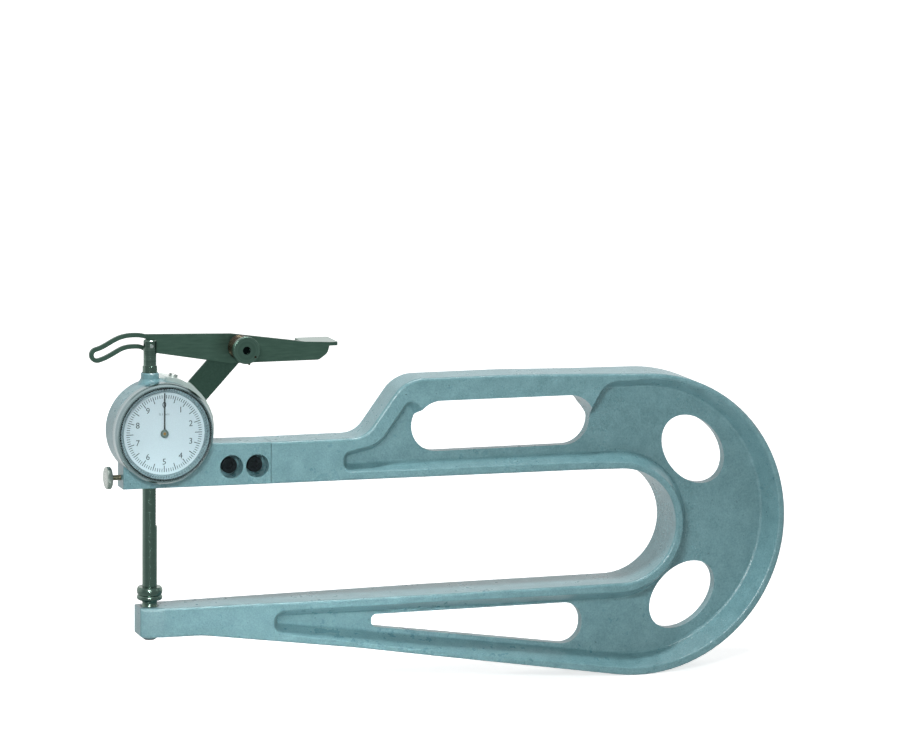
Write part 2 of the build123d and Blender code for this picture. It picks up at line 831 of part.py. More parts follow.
def make_pointer_hub():
    """Turned hub pressed on the arbor, with the blade let into it."""
    edge = hub_bore - 0.1
    return turned_y([(arbor_radius, pointer_front - 0.6), (1.5, pointer_front - 0.6),
                     (edge, pointer_front - 0.1), (edge, pointer_front + 0.5),
                     (arbor_radius, pointer_front + 0.5)], dial_x, dial_z)


def make_dial_face():
    """Dial plate, held by the cone ring so that it turns with the bezel."""
    body = drum(dial_x, dial_z, cone_radius + cone_wall, dial_front, dial_back)
    return body - drum(dial_x, dial_z, 1.5, -20, 0)


def make_dial_ring():
    """Pale cone ring between the crystal's seat and the dial."""
    outer = spigot_radius + running - seat_gap
    flange = -case_front - spigot_length - bezel_gap
    rear = cone_radius + cone_wall
    front = crystal_seat() + crystal_shelf
    return turned_y([(cone_radius, dial_front), (rear, dial_front), (rear, flange),
                     (outer, flange), (outer, front), (crystal_bore(), front)], dial_x, dial_z)


def crystal_seat():
    """Depth of the shelf on which the crystal rests."""
    return bezel_front + crystal_sink + crystal_thickness


def crystal_bore():
    """Opening of the shelf under the crystal."""
    return crystal_radius + seat_gap - crystal_ledge


def make_bezel():
    """Turned bezel: a bore on the spigot, a shelf for the crystal and a rounded brow."""
    bore = spigot_radius + running
    lip = crystal_radius + seat_gap
    brow = lip + bezel_lip
    width = bezel_radius - brow
    curve = (width ** 2 + bezel_curve ** 2) / (2 * width)
    turn = math.asin(bezel_curve / curve) / 2
    middle = (bezel_radius - curve * (1 - math.cos(turn)),
              bezel_front + bezel_curve - curve * math.sin(turn))
    shelf = crystal_seat()
    profile = Polyline((bore, bezel_back), (bezel_radius, bezel_back),
                       (bezel_radius, bezel_front + bezel_curve))
    profile += ThreePointArc((bezel_radius, bezel_front + bezel_curve), middle,
                             (brow, bezel_front))
    profile += Polyline((brow, bezel_front), (lip, bezel_front), (lip, shelf),
                        (crystal_bore(), shelf), (crystal_bore(), shelf + crystal_shelf),
                        (bore, shelf + crystal_shelf), (bore, bezel_back))
    ring = Plane(origin=(dial_x, 0, dial_z)) * make_face(profile)
    return revolve(ring, Axis((dial_x, 0, dial_z), (0, 1, 0)), 360)


def make_crystal():
    """Clear disc snapped in the front of the bezel."""
    return drum(dial_x, dial_z, crystal_radius, bezel_front + crystal_sink, crystal_seat())


def make_back_cover():
    """Round cover let into the back of the head."""
    body = drum(dial_x, dial_z, cover_radius, case_back - cover_thickness, case_back)
    body = fillet(body.edges().sort_by(Axis.Y)[-1], 0.4)
    for x, z in cover_screw_places():
        body = body - drum(x, z, small_screw_radius + seat_gap, 0, 20)
    return body


def make_cover_screws():
    """Three round-headed screws of the back cover."""
    screws = []
    for x, z in cover_screw_places():
        front = case_back - cover_thickness - small_screw_length
        shank = drum(x, z, small_screw_radius, front, case_back)
        head = turned_y([(0, case_back), (1.4, case_back), (1.3, case_back + 0.5),
                         (0.8, case_back + 0.8), (0, case_back + 0.9)], x, z)
        screws.append(shank + head)
    return Compound(screws)


def make_lap_screws():
    """Two low socket-head cap screws through the lap joint."""
    seat = lap_y - counterbore_web
    screws = []
    for n in range(2):
        x = joint_x - screw_from_joint - n * screw_pitch
        z = arm_top - screw_drop
        head = drum(x, z, cap_head_radius, seat - cap_head_height, seat)
        head = fillet(head.edges().sort_by(Axis.Y)[0], 0.4)
        socket = plate(hexagon(x, z, hex_across), seat - cap_head_height, seat - 2.2)
        shank = drum(x, z, cap_screw_radius, seat, plan_half(x) - 0.6)
        screws.append(head - socket + shank)
    return Compound(screws)


def fork_point(lift):
    """Where the lift pin's centre lies on the resting lever, at a given lift."""
    swing = lever_ratio * lift
    rise = pin_rise + lift
    x = -pivot_x * math.cos(swing) - rise * math.sin(swing)
    z = -pivot_x * math.sin(swing) + rise * math.cos(swing)
    lean = -slot_play * math.sin(1.5 * math.pi * lift / travel)
    return (pivot_x + x, pivot_z + z + lean)


def fork_centre():
    """Curved centre line of the fork's slot."""
    points = [fork_point(travel * n / 4) for n in range(5)]
    last, before = points[-1], points[-2]
    angle = math.atan2(last[1] - before[1], last[0] - before[0]) - 0.10
    end = (last[0] + fork_tail * math.cos(angle), last[1] + fork_tail * math.sin(angle))
    return Spline(*points, end)


def fork_band(half):
    """Band along the slot's centre line, with round ends."""
    centre = fork_centre()
    upper, lower = [], []
    for n in range(9):
        spot, along = centre @ (n / 8), centre % (n / 8)
        upper.append((spot.X - half * along.Y, spot.Y + half * along.X))
        lower.append((spot.X + half * along.Y, spot.Y - half * along.X))
    start = centre @ 0 - half * (centre % 0)
    end = centre @ 1 + half * (centre % 1)
    edges = Spline(*upper) + ThreePointArc(upper[-1], end, lower[-1])
    edges += Spline(*reversed(lower)) + ThreePointArc(lower[0], start, upper[0])
    return make_face(edges)


def make_lever():
    """Flat lever: slotted fork over the lift pin, pivot hole and bent thumb pad."""
    fork = fork_band(fork_slot / 2 + fork_prong)
    slot = fork_band(fork_slot / 2)
    half = fork_slot / 2 + fork_prong
    left, left_z = fork_point(0)
    pad_right = pad_left_x + pad_length
    pad_z = pivot_z + pad_rise
    blade = make_face(Polyline((fork_shoulder_x, pivot_z + fork_shoulder_rise),
                               (pivot_x - 4, pivot_z + lever_above),
                               (pad_left_x, pad_z + 0.8), (pad_right - 4.5, pad_z),
                               (pad_right - 6.0, pad_z - 6.0),
                               (pad_right - 11.0, pivot_z - lever_below),
                               (pivot_x - 4, pivot_z - lever_below),
                               (left, left_z - half), close=True))
    corners = [(pivot_x - 4, pivot_z + lever_above, 12.0), (pad_right - 6.0, pad_z - 6.0, 5.0)]
    corners += [(pad_right - 11.0, pivot_z - lever_below, 3.0)]
    outline = fork + rounded(blade, corners) - slot
    outline -= Pos(pivot_x, pivot_z) * Circle(pivot_radius + running)
    body = plate(outline, lever_front, lever_back)
    base = Plane(origin=(0, 0, pad_z - lever_thickness))
    pad = Pos(pad_left_x + pad_length / 2, lever_front + pad_width / 2)
    pad = pad * RectangleRounded(pad_length, pad_width, 1.5)
    pad = extrude(base * pad, amount=lever_thickness)
    return body + pad


def make_lift_pin():
    """Cross pin through the spindle's top, which runs in the lever's slot."""
    z = pivot_z + pin_rise
    return drum(0, z, pin_radius, -spindle_tip_radius - 0.3, lever_back + 0.2)


def make_bracket():
    """Sheet bracket: a strap round the case and an arm up to the pivot."""
    inner = case_radius + seat_gap
    outer = inner + strap_thickness
    back = bracket_front + sheet
    angles = (strap_low, (strap_low + strap_high) / 2, strap_high)
    inside = [on_dial(inner, degrees) for degrees in angles]
    outside = [on_dial(outer, degrees) for degrees in angles]
    edges = ThreePointArc(*inside) + Line(inside[2], outside[2])
    edges += ThreePointArc(outside[2], outside[1], outside[0]) + Line(outside[0], inside[0])
    strap = plate(make_face(edges), -strap_front, back)
    foot_x, foot_z = on_dial(inner + sheet / 2, arm_foot_angle)
    reach = math.hypot(pivot_x - foot_x, pivot_z - foot_z)
    turn = math.degrees(math.atan2(pivot_z - foot_z, pivot_x - foot_x))
    arm = Pos(foot_x, foot_z) * Rot(0, 0, turn) * Pos(reach / 2, 0)
    arm = arm * Rectangle(reach, bracket_width)
    arm = fillet(arm.vertices().sort_by_distance((pivot_x, pivot_z, 0))[:2], arm_end_radius)
    arm += Pos(pivot_x, pivot_z) * Circle(arm_end_radius)
    arm -= Pos(pivot_x, pivot_z) * Circle(pivot_thread + seat_gap)
    arm -= Pos(dial_x, dial_z) * Circle(inner)
    body = strap + plate(arm, bracket_front, back)
    for hole in strap_drums(strap_screw_radius + seat_gap, inner - 1, outer + 3):
        body = body - hole
    return body


def strap_drums(radius, start, end):
    """Pair of drums on the strap screws' radial axes."""
    drums = []
    for degrees in (strap_screw_low, strap_screw_high):
        angle = math.radians(degrees)
        out = Vector(math.cos(angle), 0, math.sin(angle))
        origin = Vector(dial_x, strap_screw_y, dial_z) + out * start
        drums.append(extrude(Plane(origin=origin, z_dir=out) * Circle(radius), amount=end - start))
    return drums


def make_bracket_screws():
    """Two cheese-headed screws that hold the strap to the case."""
    outer = case_radius + seat_gap + strap_thickness
    heads = strap_drums(2.6, outer, outer + 1.5)
    shanks = strap_drums(strap_screw_radius, case_radius - strap_screw_length, outer)
    heads = [fillet(head.edges(), 0.4) for head in heads]
    return Compound([head + shank for head, shank in zip(heads, shanks)])


def make_pivot_screw():
    """Shoulder screw with a large flat head: the lever's pivot and the spring's post."""
    back = bracket_front + sheet
    head_back = pivot_face + pivot_head_height
    body = drum(pivot_x, pivot_z, pivot_head_radius, pivot_face, head_back)
    body = fillet(body.edges().sort_by(Axis.Y), 0.4)
    body = body + drum(pivot_x, pivot_z, pivot_radius, head_back, bracket_front)
    body = body + drum(pivot_x, pivot_z, pivot_thread, bracket_front, back + nut_height + 0.8)
    body = body - plate(hexagon(pivot_x, pivot_z, hex_across), pivot_face, pivot_face + 2.2)
    hole = spring_wire + seat_gap
    return body - drum(*spring_anchor(), hole, pivot_face - 1, head_back + 1)


def spring_anchor():
    """Place of the hole in the pivot screw's head that takes the spring's end."""
    angle = math.radians(spring_anchor_angle)
    return (pivot_x + spring_radius * math.cos(angle), pivot_z + spring_radius * math.sin(angle))


def make_torsion_spring():
    """Closed coil round the pivot, with its front end in the screw's head."""
    first = pivot_face + pivot_head_height + spring_wire + 0.3
    last = lever_front - 3 * spring_wire - 0.3
    pitch = (last - first) / spring_turns
    lead = pitch / (2 * math.pi)
    start = (spring_radius, 0, 0)
    path = Helix(pitch, last - first, spring_radius)
    section = Plane(origin=start, z_dir=(0, spring_radius, lead)) * RegularPolygon(spring_wire, 8)
    coil = sweep(section, path, is_frenet=True)
    coil = Pos(pivot_x, first, pivot_z) * Rot(0, -spring_anchor_angle, 0) * Rot(-90, 0, 0) * coil
    x, z = spring_anchor()
    end = Pos(x, z) * Rot(0, 0, spring_anchor_angle) * RegularPolygon(1.05 * spring_wire, 8)
    return coil + plate(end, pivot_face + 0.3, first + spring_wire)


def make_spring_leg():
    """Moving end of the spring, hooked under the lever."""
    y = lever_front - spring_wire - 0.1
    low = pivot_z - lever_below - spring_wire - 0.1
    x = pivot_x + spring_radius
    down = rod_z(x, y, spring_wire, low, pivot_z)
    hook = drum(x, low, spring_wire, y, lever_back)
    elbow = Pos(x, y, low) * Sphere(spring_wire)
    return down + elbow + hook


def make_pivot_washer():
    """Washer between the lever and the bracket."""
    front, back = lever_back + 0.02, bracket_front
    return turned_y([(pivot_radius + seat_gap, front), (5.0, front), (5.0, back),
                     (pivot_radius + seat_gap, back)], pivot_x, pivot_z)


def make_pivot_nut():
    """Hexagon nut behind the bracket."""
    back = bracket_front + sheet
    nut = plate(hexagon(pivot_x, pivot_z, nut_across), back, back + nut_height)
    return nut - drum(pivot_x, pivot_z, pivot_thread + seat_gap, back - 1, back + nut_height + 1)


def make_clamp_knob():
    """Round knurled head of the clamp screw."""
    right = -head_left - knob_stand
    left = right - knob_thickness
    body = rod_x(clamp_z, knob_radius, left, right)
    body = chamfer(body.edges(), 0.4)
    return body - rod_x(clamp_z, clamp_radius + seat_gap, left + 1.2, right + 1)


def make_clamp_screw():
    """Threaded shank of the clamp screw."""
    left = -head_left - knob_stand - knob_thickness + 1.3
    return rod_x(clamp_z, clamp_radius, left, -bush_radius() - 1.0)


def make_clamp_pad():
    """Soft pad at the screw's end, which bears on the spindle."""
    return rod_x(clamp_z, clamp_radius - 0.1, -bush_radius() - 0.9, -spindle_radius - running)


builders = {
    "frame": make_frame, "head_casting": make_head, "lap_screws": make_lap_screws,
    "upper_bush": make_upper_bush, "lower_bush": make_lower_bush,
    "back_cover": make_back_cover, "cover_screws": make_cover_screws,
    "anvil": make_anvil, "anvil_screw": make_anvil_screw,
    "spindle": make_spindle, "contact_disc": make_contact, "lift_pin": make_lift_pin,
    "movement_plate": make_movement_plate, "plate_screws": make_plate_screws,
    "rear_bridge": make_rear_bridge, "pillars": make_pillars,
    "pinion_arbor": make_pinion, "pointer_hub": make_pointer_hub, "pointer": make_pointer,
    "take_up_wheel": make_take_up_wheel, "take_up_arbor": make_take_up_arbor,
    "hairspring": make_hairspring, "hairspring_stud": make_hairspring_stud,
    "bezel": make_bezel, "crystal": make_crystal,
    "dial_face": make_dial_face, "dial_ring": make_dial_ring,
    "lever": make_lever, "lever_bracket": make_bracket, "bracket_screws": make_bracket_screws,
    "pivot_screw": make_pivot_screw, "pivot_washer": make_pivot_washer,
    "pivot_nut": make_pivot_nut, "torsion_spring": make_torsion_spring,
    "spring_leg": make_spring_leg,
    "clamp_knob": make_clamp_knob, "clamp_screw": make_clamp_screw, "clamp_pad": make_clamp_pad,
}

os.makedirs("parts", exist_ok=True)
for name, build in builders.items():
    solid = build()
    export_step(solid, "parts/" + name + ".step")
    print(name, round(solid.volume, 1))
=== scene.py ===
import bpy
import math
import numpy as np
from mathutils import Matrix, Vector


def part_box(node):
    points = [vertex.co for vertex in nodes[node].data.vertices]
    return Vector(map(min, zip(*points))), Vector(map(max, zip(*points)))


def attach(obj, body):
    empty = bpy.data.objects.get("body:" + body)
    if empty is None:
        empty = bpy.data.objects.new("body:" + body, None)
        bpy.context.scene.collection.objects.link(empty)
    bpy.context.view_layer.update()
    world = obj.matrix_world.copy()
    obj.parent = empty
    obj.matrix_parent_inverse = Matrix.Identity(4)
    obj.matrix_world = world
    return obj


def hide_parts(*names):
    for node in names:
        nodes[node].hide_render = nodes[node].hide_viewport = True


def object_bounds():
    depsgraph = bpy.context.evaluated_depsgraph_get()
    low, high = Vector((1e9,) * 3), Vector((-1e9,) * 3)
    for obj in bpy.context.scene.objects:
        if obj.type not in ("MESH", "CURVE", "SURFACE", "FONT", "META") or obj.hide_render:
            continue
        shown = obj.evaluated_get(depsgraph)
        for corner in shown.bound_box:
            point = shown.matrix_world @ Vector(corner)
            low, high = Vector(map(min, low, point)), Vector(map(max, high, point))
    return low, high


print("thickness gauge: loading the frame")
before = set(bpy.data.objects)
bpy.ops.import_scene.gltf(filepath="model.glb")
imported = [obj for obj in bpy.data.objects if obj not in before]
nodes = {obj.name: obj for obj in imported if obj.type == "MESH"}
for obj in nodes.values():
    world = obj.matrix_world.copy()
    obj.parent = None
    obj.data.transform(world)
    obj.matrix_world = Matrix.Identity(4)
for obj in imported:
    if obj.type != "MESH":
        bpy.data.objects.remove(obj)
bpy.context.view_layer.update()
mm = 0.001  # the scene is in metres
fullTurn = math.tau


# shader helpers

noiseRange = (0.3, 0.7)  # most of a noise lies between these values
materials = {}


def tint(red, green, blue):
    # screen colour from 0 to 255, turned into the scene's linear colour
    screen = np.array([red, green, blue]) / 255.0
    linear = np.where(screen <= 0.04045, screen / 12.92, ((screen + 0.055) / 1.055) ** 2.4)
    return (*linear.tolist(), 1.0)


def feed(tree, socket, value):
    # another node's socket goes in as a link, a number or a colour as a constant
    if isinstance(value, bpy.types.NodeSocket):
        tree.links.new(value, socket)
    else:
        socket.default_value = value


def addMath(tree, operation, first, second=None):
    node = tree.nodes.new("ShaderNodeMath")
    node.operation = operation
    feed(tree, node.inputs[0], first)
    if second is not None:
        feed(tree, node.inputs[1], second)
    return node.outputs[0]


def addNoise(tree, vector, scale, detail=2.0, roughness=0.5):
    node = tree.nodes.new("ShaderNodeTexNoise")
    node.inputs["Detail"].default_value = detail
    node.inputs["Roughness"].default_value = roughness
    feed(tree, node.inputs["Scale"], scale)
    tree.links.new(vector, node.inputs["Vector"])
    return node.outputs["Fac"]


def carry(tree, value, source, target=(0.0, 1.0), smooth=False):
    # carries the source range of a value onto the target range, and holds it at both ends
    node = tree.nodes.new("ShaderNodeMapRange")
    if smooth:
        node.interpolation_type = "SMOOTHSTEP"
    for label, number in zip(("From Min", "From Max", "To Min", "To Max"), (*source, *target)):
        node.inputs[label].default_value = number
    tree.links.new(value, node.inputs["Value"])
    return node.outputs["Result"]


def blendColours(tree, mask, first, second):
    # first where the mask is 0, second where it is 1; sockets 6 and 7 of a mix node take colours
    mix = tree.nodes.new("ShaderNodeMix")
    mix.data_type = "RGBA"
    tree.links.new(mask, mix.inputs[0])
    feed(tree, mix.inputs[6], first)
    feed(tree, mix.inputs[7], second)
    return mix.outputs[2]


def splitVector(tree, vector):
    node = tree.nodes.new("ShaderNodeSeparateXYZ")
    tree.links.new(vector, node.inputs[0])
    return tuple(node.outputs)


def distanceFromAxis(tree, across, along):
    # square root of the sum of the two squares
    squares = [addMath(tree, "MULTIPLY", side, side) for side in (across, along)]
    return addMath(tree, "SQRT", addMath(tree, "ADD", *squares))


def addCoordinates(tree, centre=(0, 0, 0), turn=(0, 0, 0)):
    # object coordinates, moved so that centre is the origin and turned about it
    coordinates = tree.nodes.new("ShaderNodeTexCoord")
    shifted = tree.nodes.new("ShaderNodeMapping")
    shifted.inputs["Location"].default_value = tuple(-c for c in centre)
    tree.links.new(coordinates.outputs["Object"], shifted.inputs["Vector"])
    turned = tree.nodes.new("ShaderNodeMapping")
    turned.inputs["Rotation"].default_value = turn
    tree.links.new(shifted.outputs["Vector"], turned.inputs["Vector"])
    return turned.outputs["Vector"]


def startMaterial(name, settings):
    # material with a Principled shader whose constants come from settings
    material = bpy.data.materials.new(name)
    material.use_nodes = True
    materials[name] = material
    tree = material.node_tree
    shader = tree.nodes["Principled BSDF"]
    for label, value in settings.items():
        shader.inputs[label].default_value = value
    return tree, shader


def addBump(tree, shader, height, distance):
    bump = tree.nodes.new("ShaderNodeBump")
    bump.inputs["Distance"].default_value = distance
    tree.links.new(height, bump.inputs["Height"])
    tree.links.new(bump.outputs["Normal"], shader.inputs["Normal"])


# shader groups, shared by the finishes

hammerLook = {
    "dimpleSoftness": 0.6,
    "broadScale": 0.12,  # the clouds' and specks' scales are shares of the grain's
    "speckScale": 0.45,
    "speckLevel": 0.30,  # noise below this is a speck
    "fineInShade": 0.65,
    "broadInShade": 0.35,
    "fineInHeight": 0.7,
}
handlingFineness = 9.0  # how much finer the second noise of the handling marks is
handlingRange = (0.0, 0.5)  # most of the two noises' product lies between these values


def newGroup(name, setting, value, outputs):
    # empty shader group that takes a vector and one number, and puts out numbers
    group = bpy.data.node_groups.new(name, "ShaderNodeTree")
    group.interface.new_socket("Vector", in_out="INPUT", socket_type="NodeSocketVector")
    number = group.interface.new_socket(setting, in_out="INPUT", socket_type="NodeSocketFloat")
    number.default_value = value
    for label in outputs:
        group.interface.new_socket(label, in_out="OUTPUT", socket_type="NodeSocketFloat")
    return group, group.nodes.new("NodeGroupInput"), group.nodes.new("NodeGroupOutput")


def placeGroup(tree, group, vector, **values):
    node = tree.nodes.new("ShaderNodeGroup")
    node.node_tree = group
    tree.links.new(vector, node.inputs["Vector"])
    for label, value in values.items():
        node.inputs[label].default_value = value
    return node.outputs


def makeHammerGroup():
    # hammer finish: rounded dimples about one grain wide, with darker specks between them
    look = hammerLook
    group, start, end = newGroup("hammerFinish", "Grain", 700.0, ("Shade", "Speck", "Height"))
    vector, grain = start.outputs["Vector"], start.outputs["Grain"]
    cells = group.nodes.new("ShaderNodeTexVoronoi")
    cells.feature = "SMOOTH_F1"
    cells.inputs["Smoothness"].default_value = look["dimpleSoftness"]
    group.links.new(vector, cells.inputs["Vector"])
    group.links.new(grain, cells.inputs["Scale"])
    fine = addNoise(group, vector, grain, detail=3.0, roughness=0.55)
    broad = addNoise(group, vector, addMath(group, "MULTIPLY", grain, look["broadScale"]))
    speckScale = addMath(group, "MULTIPLY", grain, look["speckScale"])
    speck = addNoise(group, vector, speckScale, detail=4.0, roughness=0.6)
    shade = addMath(group, "ADD", addMath(group, "MULTIPLY", fine, look["fineInShade"]),
                    addMath(group, "MULTIPLY", broad, look["broadInShade"]))
    height = addMath(group, "ADD", cells.outputs["Distance"],
                     addMath(group, "MULTIPLY", fine, look["fineInHeight"]))
    group.links.new(shade, end.inputs["Shade"])
    group.links.new(addMath(group, "LESS_THAN", speck, look["speckLevel"]), end.inputs["Speck"])
    group.links.new(height, end.inputs["Height"])
    return group


def makeTurnedGroup():
    # lathe marks: noise read along the radius and the axis only, so it runs round in rings
    group, start, end = newGroup("latheMarks", "Pitch", 4000.0, ("Marks",))
    across, along, axial = splitVector(group, start.outputs["Vector"])
    joined = group.nodes.new("ShaderNodeCombineXYZ")
    group.links.new(distanceFromAxis(group, across, along), joined.inputs[0])
    group.links.new(axial, joined.inputs[1])
    rings = addNoise(group, joined.outputs[0], start.outputs["Pitch"], roughness=0.6)
    group.links.new(rings, end.inputs["Marks"])
    return group


def makeHandlingGroup():
    # faint finger marks and dulling: broad noise times a finer one
    group, start, end = newGroup("handling", "Spread", 60.0, ("Mask",))
    vector, broadScale = start.outputs["Vector"], start.outputs["Spread"]
    fineScale = addMath(group, "MULTIPLY", broadScale, handlingFineness)
    broad = addNoise(group, vector, broadScale, detail=3.0, roughness=0.6)
    fine = addNoise(group, vector, fineScale, detail=3.0, roughness=0.6)
    group.links.new(addMath(group, "MULTIPLY", broad, fine), end.inputs["Mask"])
    return group


print("shader groups")
hammerGroup = makeHammerGroup()
turnedGroup = makeTurnedGroup()
handlingGroup = makeHandlingGroup()


def addHandling(tree, shader, vector, spread, roughness):
    # handling marks carry the roughness from its lower value to its higher one
    mask = placeGroup(tree, handlingGroup, vector, Spread=spread)["Mask"]
    tree.links.new(carry(tree, mask, handlingRange, roughness), shader.inputs["Roughness"])


def middle(name):
    low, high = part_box(name)
    return (low + high) / 2


dialCentre = middle("dial_face")
pivotCentre = middle("pivot_screw")
knobCentre = middle("clamp_knob")


# paint of the castings

paintLook = {
    "dark": tint(88, 129, 135),
    "light": tint(122, 162, 169),
    "speck": tint(58, 98, 102),
    "specular": 0.75,
    "grain": 1150.0,
    "bumpDepth": 0.12 * mm,
    "handling": 25.0,
    "roughness": (0.24, 0.34),
}


def makePaint():
    look = paintLook
    tree, shader = startMaterial("hammerEnamel", {"Specular IOR Level": look["specular"]})
    vector = addCoordinates(tree)
    hammer = placeGroup(tree, hammerGroup, vector, Grain=look["grain"])
    shade = carry(tree, hammer["Shade"], noiseRange)
    colour = blendColours(tree, shade, look["dark"], look["light"])
    colour = blendColours(tree, hammer["Speck"], colour, look["speck"])
    tree.links.new(colour, shader.inputs["Base Color"])
    addHandling(tree, shader, vector, look["handling"], look["roughness"])
    addBump(tree, shader, hammer["Height"], look["bumpDepth"])


# metal turned on a lathe

alongZ = (0, 0, 0)  # turns that bring the lathe's axis onto Z
alongY = (math.radians(90), 0, 0)
alongX = (0, math.radians(90), 0)

turnedLook = {
    "groundSteel": {
        "dark": tint(76, 98, 88), "light": tint(124, 144, 134), "roughness": (0.16, 0.26),
        "pitch": 5000.0, "depth": 0.004 * mm, "centre": (0, 0, 0), "axis": alongZ,
    },
    "turnedAluminium": {
        "dark": tint(128, 149, 152), "light": tint(170, 187, 189), "roughness": (0.18, 0.28),
        "pitch": 3500.0, "depth": 0.004 * mm, "centre": dialCentre, "axis": alongY,
    },
    "faceTurnedSteel": {
        "dark": tint(84, 110, 99), "light": tint(106, 132, 120), "roughness": (0.26, 0.38),
        "pitch": 2600.0, "depth": 0.006 * mm, "centre": pivotCentre, "axis": alongY,
        # radius of the recess in the screw's face, inside which shade is painted dark
        "recess": 2.1 * mm,
    },
    "knobSteel": {
        "dark": tint(150, 162, 156), "light": tint(198, 206, 200), "roughness": (0.22, 0.34),
        "pitch": 3500.0, "depth": 0.004 * mm, "centre": knobCentre, "axis": alongX,
    },
}
# painted shade: near-black colour for the inside of a recess, in place of its shade
recessShadeTint = tint(16, 24, 24)
recessShadeEdge = 1.05  # the painted recess shade is gone from here, as a share of its radius
turnedHandling = 90.0


def makeTurnedMetal(name):
    # bright metal with lathe marks round an axis; inside the recess radius, where it has one, shade is
    # painted dark into the colour
    look = turnedLook[name]
    tree, shader = startMaterial(name, {"Metallic": 1.0})
    vector = addCoordinates(tree, look["centre"], look["axis"])
    marks = placeGroup(tree, turnedGroup, vector, Pitch=look["pitch"])["Marks"]
    colour = blendColours(tree, carry(tree, marks, noiseRange), look["dark"], look["light"])
    # painted shade in the recess, fading out towards its rim
    if "recess" in look:
        across, along = splitVector(tree, vector)[:2]
        distance = distanceFromAxis(tree, across, along)
        outside = carry(tree, distance, (look["recess"], look["recess"] * recessShadeEdge))
        colour = blendColours(tree, outside, recessShadeTint, colour)
    tree.links.new(colour, shader.inputs["Base Color"])
    addHandling(tree, shader, vector, turnedHandling, look["roughness"])
    addBump(tree, shader, marks, look["depth"])


# sheet metal of the lever and its bracket

sheetLook = {
    "metallic": 0.85,
    "grain": 900.0,
    "grainDepth": 0.012 * mm,
    "handling": 45.0,
    # light tint of the polished strap, also painted on the thumb pad's upward faces as sheen
    "polishAndSheen": tint(226, 236, 232),
    "padLength": 24 * mm,  # the thumb pad and its root, at the lever's far end
    "padEdge": 1 * mm,
    "padSheenShare": 0.48,  # share of the light tint painted on the thumb pad's upward faces as sheen
    "lookingUp": (0.7, 0.8),  # upward share of a face's normal, from no painted sheen to full painted sheen
    "strapReach": 30.5 * mm,  # the strap ends within this distance of the dial's axis
    "strapEdge": 0.5 * mm,
}


def padTop(tree, vector):
    # painted sheen on the upper side of the thumb pad: the faces at the lever's far end that look up are made
    # lighter
    look = sheetLook
    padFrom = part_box("lever")[1].x - look["padLength"]
    far = carry(tree, splitVector(tree, vector)[0], (padFrom, padFrom + look["padEdge"]))
    normal = tree.nodes.new("ShaderNodeNewGeometry").outputs["True Normal"]
    upward = carry(tree, splitVector(tree, normal)[2], look["lookingUp"])
    return addMath(tree, "MULTIPLY", addMath(tree, "MULTIPLY", far, upward), look["padSheenShare"])


def strapBand(tree, vector):
    # the strap round the case, by its distance from the dial's axis
    place = splitVector(tree, vector)
    across = addMath(tree, "SUBTRACT", place[0], dialCentre.x)
    above = addMath(tree, "SUBTRACT", place[2], dialCentre.z)
    end = sheetLook["strapReach"]
    edge = (end, end + sheetLook["strapEdge"])
    outside = carry(tree, distanceFromAxis(tree, across, above), edge)
    return addMath(tree, "SUBTRACT", 1.0, outside)


sheetFinishes = {
    "bracketSteel": {
        "dark": tint(62, 88, 77), "light": tint(72, 98, 87), "roughness": (0.26, 0.42),
        "stretch": (1.0, 1.0, 1.0), "brighter": strapBand,
    },
    "dullLeverSteel": {
        "dark": tint(72, 99, 87), "light": tint(84, 111, 99), "roughness": (0.32, 0.48),
        "stretch": (0.15, 1.0, 1.0), "brighter": padTop,
    },
}


def makeSheetMetal(name):
    # dull sheet steel with a faint rolled grain, blended towards a light tint where the mask of its brighter
    # place says so: the strap's polish on the bracket, and painted sheen on the lever's thumb pad
    look = sheetLook
    finish = sheetFinishes[name]
    tree, shader = startMaterial(name, {"Metallic": look["metallic"]})
    vector = addCoordinates(tree)
    squeezed = tree.nodes.new("ShaderNodeMapping")
    squeezed.inputs["Scale"].default_value = finish["stretch"]
    tree.links.new(vector, squeezed.inputs["Vector"])
    grain = addNoise(tree, squeezed.outputs["Vector"], look["grain"], detail=4.0, roughness=0.6)
    colour = blendColours(tree, carry(tree, grain, noiseRange), finish["dark"], finish["light"])
    # the brighter place is the polished strap on the bracket, and painted sheen on the lever's thumb pad
    colour = blendColours(tree, finish["brighter"](tree, vector), colour, look["polishAndSheen"])
    tree.links.new(colour, shader.inputs["Base Color"])
    addHandling(tree, shader, vector, look["handling"], finish["roughness"])
    addBump(tree, shader, grain, look["grainDepth"])


# even finishes: dark tint, light tint, roughness, metallic

evenLook = {
    "brightScrewSteel": (tint(196, 200, 198), tint(226, 228, 226), 0.24, 1.0),
    "blackOxide": (tint(20, 26, 28), tint(40, 48, 52), 0.28, 0.7),
    "threadSteel": (tint(104, 100, 82), tint(150, 144, 122), 0.3, 1.0),
    "springWire": (tint(50, 46, 36), tint(88, 80, 64), 0.28, 1.0),
    "hubSteel": (tint(108, 128, 120), tint(140, 158, 150), 0.3, 1.0),
    "pointerBlack": (tint(18, 26, 28), tint(34, 44, 46), 0.4, 0.0),
    "turnedBrass": (tint(196, 160, 84), tint(222, 190, 118), 0.25, 1.0),
    "dialEnamel": (tint(173, 192, 198), tint(179, 198, 204), 0.5, 0.0),
    "printInk": (tint(14, 26, 30), tint(24, 38, 42), 0.6, 0.0),
    "greyInk": (tint(84, 102, 110), tint(96, 114, 122), 0.6, 0.0),
    "goldTip": (tint(150, 110, 50), tint(176, 132, 66), 0.35, 1.0),
}
cloudScale = 1500.0
cloudDepth = 0.006 * mm


